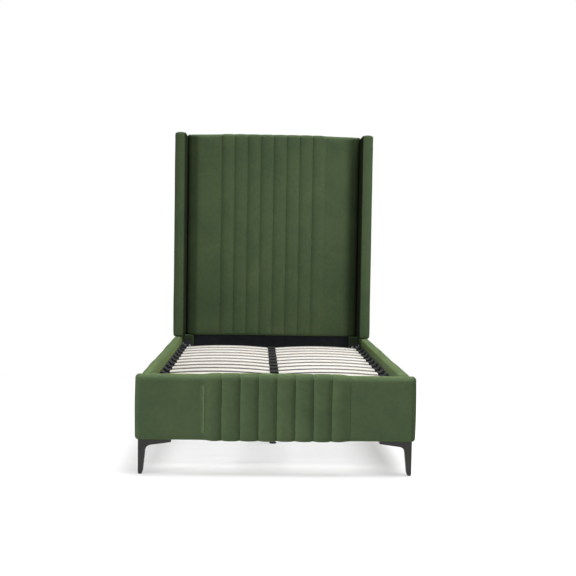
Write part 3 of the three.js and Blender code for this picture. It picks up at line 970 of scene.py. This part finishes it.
def add_ledge_screws(material):
    """Screws through the ledge's upright flange between the caps."""
    rows = slat_rows()
    gaps = [(first + second) / 2 for first, second in zip(rows, rows[1:])]
    for side_name, side in SIDES:
        low, high = box_of(f"{side_name}_slat_ledge")
        face = side * (max(abs(low[0]), abs(high[0])) - SHEET_STEEL)
        parts = [screw_head((face, y, high[2] - 0.012), 0, -side) for y in gaps[::2]]
        add_screws(f"{side_name}_ledge_screws", parts, material)


def leg_points(side, outline, outer_x, middle_y, depth):
    """A flat outline in (from the outer edge, height) as two loops, tapering in depth to the foot."""
    loops = []
    for face in (-1, 1):
        loop = []
        for u, z in outline:
            share = LEG_TAPER + (1 - LEG_TAPER) * z / LEG_HEIGHT
            loop.append((outer_x - side * u, middle_y + face * depth / 2 * share, z))
        loops.append(loop)
    count = len(outline)
    faces = [list(range(count)), list(range(count, 2 * count))[::-1]]
    faces += [[k, k + count, (k + 1) % count + count, (k + 1) % count] for k in range(count)]
    if side > 0:
        faces = [face[::-1] for face in faces]
    return np.array(loops[0] + loops[1]), faces


def leg_fillet():
    """The curve between the flange's underside and the blade."""
    start, bend, end = np.array(FLANGE_ROOT), np.array((0.0375, 0.1385)), np.array((0.0335, 0.113))
    steps = [k / FILLET_STEPS for k in range(FILLET_STEPS + 1)]
    return [tuple((1 - t) ** 2 * start + 2 * t * (1 - t) * bend + t**2 * end) for t in steps]


def add_front_leg(name, side, metal, rubber, zinc):
    """The blade with its long flange, a black boot on the foot, and the screws under the flange."""
    node = f"{name}_front_leg"
    low, high = box_of(node)
    outer_x = low[0] if side < 0 else high[0]
    middle_y, depth = (low[1] + high[1]) / 2, high[1] - low[1]
    flange = [(0, high[2]), (FLANGE_TIP[0], high[2]), FLANGE_TIP]
    foot = [(0.0235, 0.014), (0.0204, BOOT_HEIGHT), (0.0010, BOOT_HEIGHT), (0.0, 0.0096)]
    solid = leg_points(side, flange + leg_fillet() + foot, outer_x, middle_y, depth)
    blade = hard_piece(f"{node}_blade", [solid], metal)
    add_bevel(blade, 0.0024, 3, 25)
    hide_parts(node)
    boot_top = BOOT_HEIGHT + 0.0006
    boot = [(0.0008, boot_top), (0.0207, boot_top), (0.0172, 0.0), (0.0034, 0.0)]
    solid = leg_points(side, boot, outer_x, middle_y, depth + 0.001)
    boot_piece = hard_piece(f"{node}_boot", [solid], rubber)
    add_bevel(boot_piece, 0.0012, 2, 25)
    (root_u, root_z), (tip_u, tip_z) = FLANGE_ROOT, FLANGE_TIP
    screws = []
    for u in (0.080, 0.108, 0.140):
        under = root_z + (u - root_u) / (tip_u - root_u) * (tip_z - root_z)
        screws.append(screw_head((outer_x - side * u, middle_y, under), 2, -1, 0.0052))
    add_screws(f"{node}_screws", screws, zinc)


def threaded_rod(middle, low, high, radius):
    """A rod whose surface follows an M8 thread."""
    sides, per_turn = 20, 5
    rings = round((high - low) / THREAD_PITCH * per_turn)
    points = []
    for ring in range(rings + 1):
        z = low + (high - low) * ring / rings
        ends = min(1.0, (z - low) / THREAD_PITCH, (high - z) / THREAD_PITCH)
        for k in range(sides):
            phase = ((z - low) / THREAD_PITCH - k / sides) % 1
            depth = THREAD_DEPTH * abs(2 * phase - 1) * ends + 0.0004 * (1 - ends)
            angle = 2 * math.pi * k / sides
            points.append((
                middle[0] + (radius - depth) * math.cos(angle),
                middle[1] + (radius - depth) * math.sin(angle),
                z,
            ))
    points += [(middle[0], middle[1], low), (middle[0], middle[1], high)]
    return rings_closed(points, rings + 1, sides)


def add_levelling_foot(end, zinc, rubber):
    """The threaded screw with its hexagon collar, and the ribbed pad it stands on."""
    low, high = box_of(f"{end}_levelling_screw")
    top = box_of(f"{end}_foot_pad")[1][2]
    middle = middle_of(f"{end}_foot_pad") * (1, 1, 0)
    collar_low = top + FIT_GAP
    collar_high = collar_low + COLLAR_HEIGHT
    hexagon = [
        (0, collar_low), (0.0066, collar_low), (0.0075, collar_low + 0.0007),
        (0.0075, collar_high - 0.0007), (0.0066, collar_high), (0, collar_high),
    ]
    spigot = [(0, low[2]), (0.0034, low[2]), (0.0034, collar_low), (0, collar_low)]
    parts = [
        turned(spigot, middle, sides=16), turned(hexagon, middle, sides=6),
        threaded_rod(middle, collar_high - 0.0005, high[2], 0.0039),
    ]
    node = f"{end}_levelling_screw"
    screw = hard_piece(f"{node}_threaded", parts, zinc, body=f"{end}_screw", smooth=True)
    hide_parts(node)
    profile = [
        (0, 0.0010), (0.012, 0.0010), (0.013, 0.0), (0.0182, 0.0), (0.0196, 0.0012), (0.0200, 0.0022),
        (0.0200, 0.0046), (0.0190, 0.0056), (0.0145, top - 0.0006), (0.0135, top), (0.0048, top),
        (0.0038, top - 0.0004), (0.0038, 0.0040), (0, 0.0040),
    ]
    points, faces = turned(profile, (0, 0, 0), sides=2 * PAD_RIBS)
    radius = np.hypot(points[:, 0], points[:, 1])
    dent = np.zeros(len(points))
    dent[:-2] = np.arange(len(points) - 2) % 2
    grip = np.where(radius > 0.0195, 1 - 0.035 * dent, 1.0)
    points = points * np.stack([grip, grip, np.ones_like(grip)], 1) + middle
    node = f"{end}_foot_pad"
    solid = (points, faces)
    pad = hard_piece(f"{node}_ribbed", [solid], rubber, body=f"{end}_pad", smooth=True)
    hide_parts(node)


def add_leg_plate_bolts(zinc):
    """Bolt heads under the plate of each centre leg, and screws in the rail holders."""
    for end, inward in ENDS:
        plate_under = box_of(f"{end}_centre_leg")[1][2] - 0.004
        middle_y = middle_of(f"{end}_centre_leg")[1]
        parts = [screw_head((0, middle_y + s * 0.029, plate_under), 2, -1, 0.0050) for s in (-1, 1)]
        add_screws(f"{end}_centre_leg_bolts", parts, zinc)
        low, high = box_of(f"{end}_rail_holder")
        face = (low[1] if inward > 0 else high[1]) + inward * SHEET_STEEL
        places = [(x, face, z) for x in (-0.0272, 0.0272) for z in (0.348, 0.375)]
        parts = [screw_head(place, 1, inward, 0.0036) for place in places]
        add_screws(f"{end}_rail_holder_screws", parts, zinc)


# ---- Headboard base and back ----
def post_cover(name, side, material, rubber):
    """A covered post: tight velvet over a timber post, on a round glide."""
    node = f"{name}_headboard_post"
    low, high = box_of(node)
    low[2] += GLIDE_HEIGHT

    def shape(flat, out):
        outer = np.clip(out[:, 0] * side, 0, 1)
        back = np.clip(out[:, 1], 0, 1)
        swell = crowned(flat, low, high, 0, 0.0016) * outer + crowned(flat, low, high, 1, 0.0012) * back
        swell += soft_waves(flat, 7.0, 0.0008, 15 + side) * np.maximum(outer, back)
        held = (out[:, 1] < -0.3) | (np.abs(out[:, 2]) > 0.3) | (out[:, 0] * side < -0.3)
        return out * swell[:, None], held, np.where(held, 0.0, 0.0010)

    # Painted shade on the post's front, under the wing
    def painted_shade_mask(_, out):
        return 0.60 * np.clip(-out[:, 1], 0, 1)

    build_cover(
        f"{name}_post_upholstery", node, None, shape, material,
        low=low, high=high, radius=0.006, step=(0.012, 0.012, 0.014), marks=NO_MARKS,
        painted_shade_mask=painted_shade_mask,
    )
    middle = (low + high) / 2
    top = GLIDE_HEIGHT + 0.001
    profile = [(0, 0), (0.0130, 0), (0.0150, 0.0012), (0.0150, top), (0, top)]
    parts = [turned(profile, (middle[0] + dx, middle[1], 0)) for dx in (-0.035, 0.035)]
    hard_piece(f"{name}_post_glides", parts, rubber, smooth=True)


def base_panel(material):
    """The lined panel between the posts, a little slack between its fixings."""
    node = "headboard_base_panel"
    low, high = box_of(node)
    points, out, flat, quads = shell_grid(low, high, 0.003, (0.016, 0.014, 0.014), NO_MARKS)
    slack = np.abs(soft_waves(flat * (1.0, 1.0, 2.6), 6.0, 0.0022, 21))
    face = np.clip(np.abs(out[:, 1]) * 1.3 - 0.3, 0, 1)
    points -= out * (slack * face)[:, None]
    piece = new_object("headboard_base_lining", mesh_from(node, points, quads), "root", material)
    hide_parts(node)


def back_cloth(material, zinc):
    """The lining over the headboard's back: stretched, pulled in a little at every staple."""
    node = "headboard_back_cloth"
    low, high = box_of(node)
    width, length = high[0] - low[0], high[2] - low[2]
    columns, rows = 72, 84
    points, faces = [], []
    for j in range(rows + 1):
        for i in range(columns + 1):
            x, z = low[0] + width * i / columns, low[2] + length * j / rows
            to_edge = min(x - low[0], high[0] - x, z - low[2], high[2] - z)
            pull = math.cos((x + z) * 2 * math.pi / STAPLE_PITCH) * math.exp(-to_edge / 0.02)
            slack = 0.0012 * abs(noise.noise(Vector((x * 3.0, 1.7, z * 3.0))))
            fade = min(1.0, to_edge / 0.03)
            points.append((x, high[1] - 0.0003 + fade * slack + 0.0003 * pull, z))
    for j in range(rows):
        for i in range(columns):
            first = j * (columns + 1) + i
            faces.append([first, first + columns + 1, first + columns + 2, first + 1])
    cloth = new_object("headboard_back_lining", mesh_from(node, points, faces), "root", material)
    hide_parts(node)
    inset, face = 0.007, high[1] + 0.0004
    parts = []
    for k in range(round(width / STAPLE_PITCH)):
        x = low[0] + STAPLE_PITCH * (k + 0.5)
        parts += [staple((x, face, z), 0, 1) for z in (low[2] + inset, high[2] - inset)]
    for k in range(round(length / STAPLE_PITCH)):
        z = low[2] + STAPLE_PITCH * (k + 0.5)
        parts += [staple((x, face, z), 2, 1) for x in (low[0] + inset, high[0] - inset)]
    hard_piece("headboard_back_staples", parts, zinc)


def add_joint_lining(material):
    """Lining folded into the foot of the joint between each wing and the panel, above the post."""
    inner, outer = 0.572, 0.597
    front, back = 0.990, 0.993
    foot, top = 0.468, 0.512
    strips = []
    for _, side in SIDES:
        first, last = sorted((side * inner, side * outer))
        strips.append(block((first, front, foot), (last, back, top)))
    hard_piece("wing_joint_lining", strips, material, 0.0004)


def joining_plates(steel, zinc):
    """Flat plates at the back that tie each post to the panel and to the wing above it."""
    _, (_, back, seam) = box_of("right_headboard_post")
    half_width, half_height, face = 0.018, 0.075, back + 0.0022
    plates, bolts = [], []
    for _, side in SIDES:
        for x in (0.556, 0.619):
            first, last = sorted((side * (x - half_width), side * (x + half_width)))
            low = (first, back + 0.0002, seam - half_height)
            plates.append(block(low, (last, face, seam + half_height)))
            for z in (-0.058, -0.022, 0.022, 0.058):
                bolts.append(screw_head((side * x, face, seam + z), 1, 1, 0.0058))
    hard_piece("headboard_joining_plates", plates, steel, 0.0006)
    add_screws("headboard_joining_screws", bolts, zinc)


# ---- Sewing ----
def add_tuck_stitches(cover, material):
    """Thread along both sides of the short sewn tuck left of the footboard's channels."""
    bpy.context.view_layer.update()
    solid = cover.evaluated_get(bpy.context.evaluated_depsgraph_get())
    seam = seam_places(FOOT_CHANNEL_CENTRE)[0]
    stitch, gap, half = 0.0042, 0.0052, 0.0005
    parts = []
    for _, side in SIDES:
        place = seam + side * TUCK_SPREAD * 0.45
        for k in range(int((TUCK_HIGH - TUCK_LOW) / gap)):
            z = TUCK_LOW + gap * (k + 0.5)
            hit, point, _, _ = solid.ray_cast((place, -1.3, z), (0, 1, 0))
            if hit:
                low = (place - half, point.y - half, z - stitch / 2)
                parts.append(block(low, (place + half, point.y + half, z + stitch / 2)))
    hard_piece("footboard_tuck_thread", parts, material, 0.0002)


# ---- Floor, light and camera ----
def add_camera():
    forward = Vector((
        math.sin(CAMERA_YAW) * math.cos(CAMERA_PITCH),
        math.cos(CAMERA_YAW) * math.cos(CAMERA_PITCH),
        -math.sin(CAMERA_PITCH),
    ))
    level = Vector((math.cos(CAMERA_YAW), -math.sin(CAMERA_YAW), 0))
    upright = level.cross(forward)
    right = level * math.cos(CAMERA_ROLL) + upright * math.sin(CAMERA_ROLL)
    up = upright * math.cos(CAMERA_ROLL) - level * math.sin(CAMERA_ROLL)
    data = bpy.data.cameras.new("view")
    data.lens = CAMERA_LENS
    data.sensor_width = 36.0
    camera = bpy.data.objects.new("view", data)
    turn = Matrix((right, up, -forward)).transposed().to_4x4()
    camera.matrix_world = Matrix.Translation(CAMERA_PLACE) @ turn
    bpy.context.scene.collection.objects.link(camera)
    bpy.context.scene.camera = camera


def add_light(name, place, target, size, power, spread):
    """A soft box aimed at a target; power in watts and spread in degrees."""
    data = bpy.data.lights.new(name, "AREA")
    data.shape = "RECTANGLE"
    data.size, data.size_y = size
    data.energy = power
    data.spread = math.radians(spread)
    light = bpy.data.objects.new(name, data)
    light.location = place
    light.rotation_euler = (Vector(target) - Vector(place)).to_track_quat("-Z", "Y").to_euler()
    light.visible_camera = False
    bpy.context.scene.collection.objects.link(light)


def add_sun(name, direction, strength, spread):
    """A wide sun: even light over the whole floor."""
    data = bpy.data.lights.new(name, "SUN")
    data.energy = strength
    data.angle = math.radians(spread)
    light = bpy.data.objects.new(name, data)
    light.rotation_euler = Vector(direction).to_track_quat("-Z", "Y").to_euler()
    bpy.context.scene.collection.objects.link(light)


def add_lights():
    add_sun("overhead", (-0.15, 0.02, -1.0), 7.6, 40)
    add_light("key_left", (-7.2, -4.4, 1.7), (0.90, -1.13, 0.33), (0.8, 1.9), 24, 26)
    add_light("fill_right", (7.2, -4.4, 1.7), (-0.90, -1.13, 0.33), (0.8, 1.9), 4.5, 26)
    add_light("head_left", (-2.6, -2.6, 2.0), (-0.20, 0.95, 1.45), (0.4, 0.9), 6.3, 56)
    add_light("head_right", (2.7, -2.4, 2.2), (0.40, 0.95, 1.50), (1.4, 0.9), 16.6, 56)


def add_world():
    """White beyond the floor; the light it gives is lower than the white that is seen."""
    world = bpy.data.worlds.new("studio")
    bpy.context.scene.world = world
    world.use_nodes = True
    tree = world.node_tree
    background = tree.nodes["Background"]
    seen = tree.nodes.new("ShaderNodeLightPath").outputs["Is Camera Ray"]
    level = add_node(tree, "ShaderNodeMapRange", Value=seen, To_Min=WORLD_LIGHT, To_Max=1.0)
    feed_all(tree, background, Color=(*WHITE, 1.0), Strength=level.outputs["Result"])


def floor_material():
    material, tree, shader = start_material("pale_floor")
    grain = noise_of(tree, object_space(tree), 3.0, 2.0)
    feed_all(
        tree, shader,
        Base_Color=ramp_of(tree, grain, [(0.3, grey(0.30)), (0.7, grey(0.31))]),
        Roughness=0.95,
        Specular_IOR_Level=0.0,
        Emission_Color=(*WHITE, 1.0),
        Emission_Strength=FLOOR_GLOW,
    )
    return material


def add_floor():
    """A pale sheet larger than the bed's shadow; beyond it the white world is seen."""
    corners = [
        (-FLOOR_HALF, FLOOR_FRONT, 0), (FLOOR_HALF, FLOOR_FRONT, 0),
        (FLOOR_HALF, FLOOR_BACK, 0), (-FLOOR_HALF, FLOOR_BACK, 0),
    ]
    mesh = mesh_from("floor", corners, [(0, 1, 2, 3)])
    floor = bpy.data.objects.new("floor", mesh)
    floor.data.materials.append(floor_material())
    bpy.context.scene.collection.objects.link(floor)


# ---- The whole scene ----
bpy.context.scene.view_settings.view_transform = "Standard"
add_camera()
add_world()
add_lights()
add_floor()

velvet = velvet_material("moss_velvet", SHEEN)
# A copy of the velvet without sheen, for painted shade on the wings' inner faces
shaded_velvet_copy = velvet_material("shaded_velvet_copy", 0.0)
lining = lining_material()
timber = timber_material()
beech = slat_material()
powder = coat_material("black_powder_coat", (0.012, 0.0135, 0.016), 0.48, 0.0, 900.0, 0.35)
gunmetal = coat_material("gunmetal", (0.024, 0.024, 0.022), 0.40, 0.45, 500.0, 0.12)
plastic = coat_material("black_plastic", (0.005, 0.0055, 0.0065), 0.55, 0.0, 700.0, 0.25)
zinc = coat_material("bright_zinc", (0.52, 0.54, 0.56), 0.28, 1.0, 400.0, 0.10, 0.12)
rubber = coat_material("black_rubber", (0.010, 0.010, 0.010), 0.80, 0.0, 600.0, 0.40)

foot_cover = footboard_cover(velvet)
headboard_cover(velvet)
for side_name, side_sign in SIDES:
    wing_cover(side_name, side_sign, velvet, shaded_velvet_copy)
    rail_cover(side_name, side_sign, velvet)
    post_cover(side_name, side_sign, velvet, rubber)
    add_rail_welt(side_name, side_sign, velvet)
    add_front_leg(side_name, side_sign, gunmetal, rubber, zinc)
base_panel(lining)
back_cloth(lining, zinc)
add_joint_lining(lining)
joining_plates(powder, zinc)
add_tuck_stitches(foot_cover, thread_material())
add_slats(beech)
add_cap_ribs(plastic)
add_bracket_bolts(zinc)
add_ledge_screws(zinc)
add_leg_plate_bolts(zinc)
for end, _ in ENDS:
    add_levelling_foot(end, zinc, rubber)

for node in ("footboard_board", "headboard_frame"):
    dress(node, timber, 0.001)
dress("centre_slat_caps", plastic, 0.0005)
dress("centre_rail", powder, 0.001)
for end, _ in ENDS:
    dress(f"{end}_rail_holder", powder, 0.0006)
    dress(f"{end}_centre_leg", powder, 0.0008)
for side_name, _ in SIDES:
    for part in ("rail_board", "wing_board"):
        dress(f"{side_name}_{part}", timber, 0.001)
    dress(f"{side_name}_slat_caps", plastic, 0.0005)
    for part in ("slat_ledge", "front_bracket", "rear_bracket"):
        dress(f"{side_name}_{part}", powder, 0.0006)
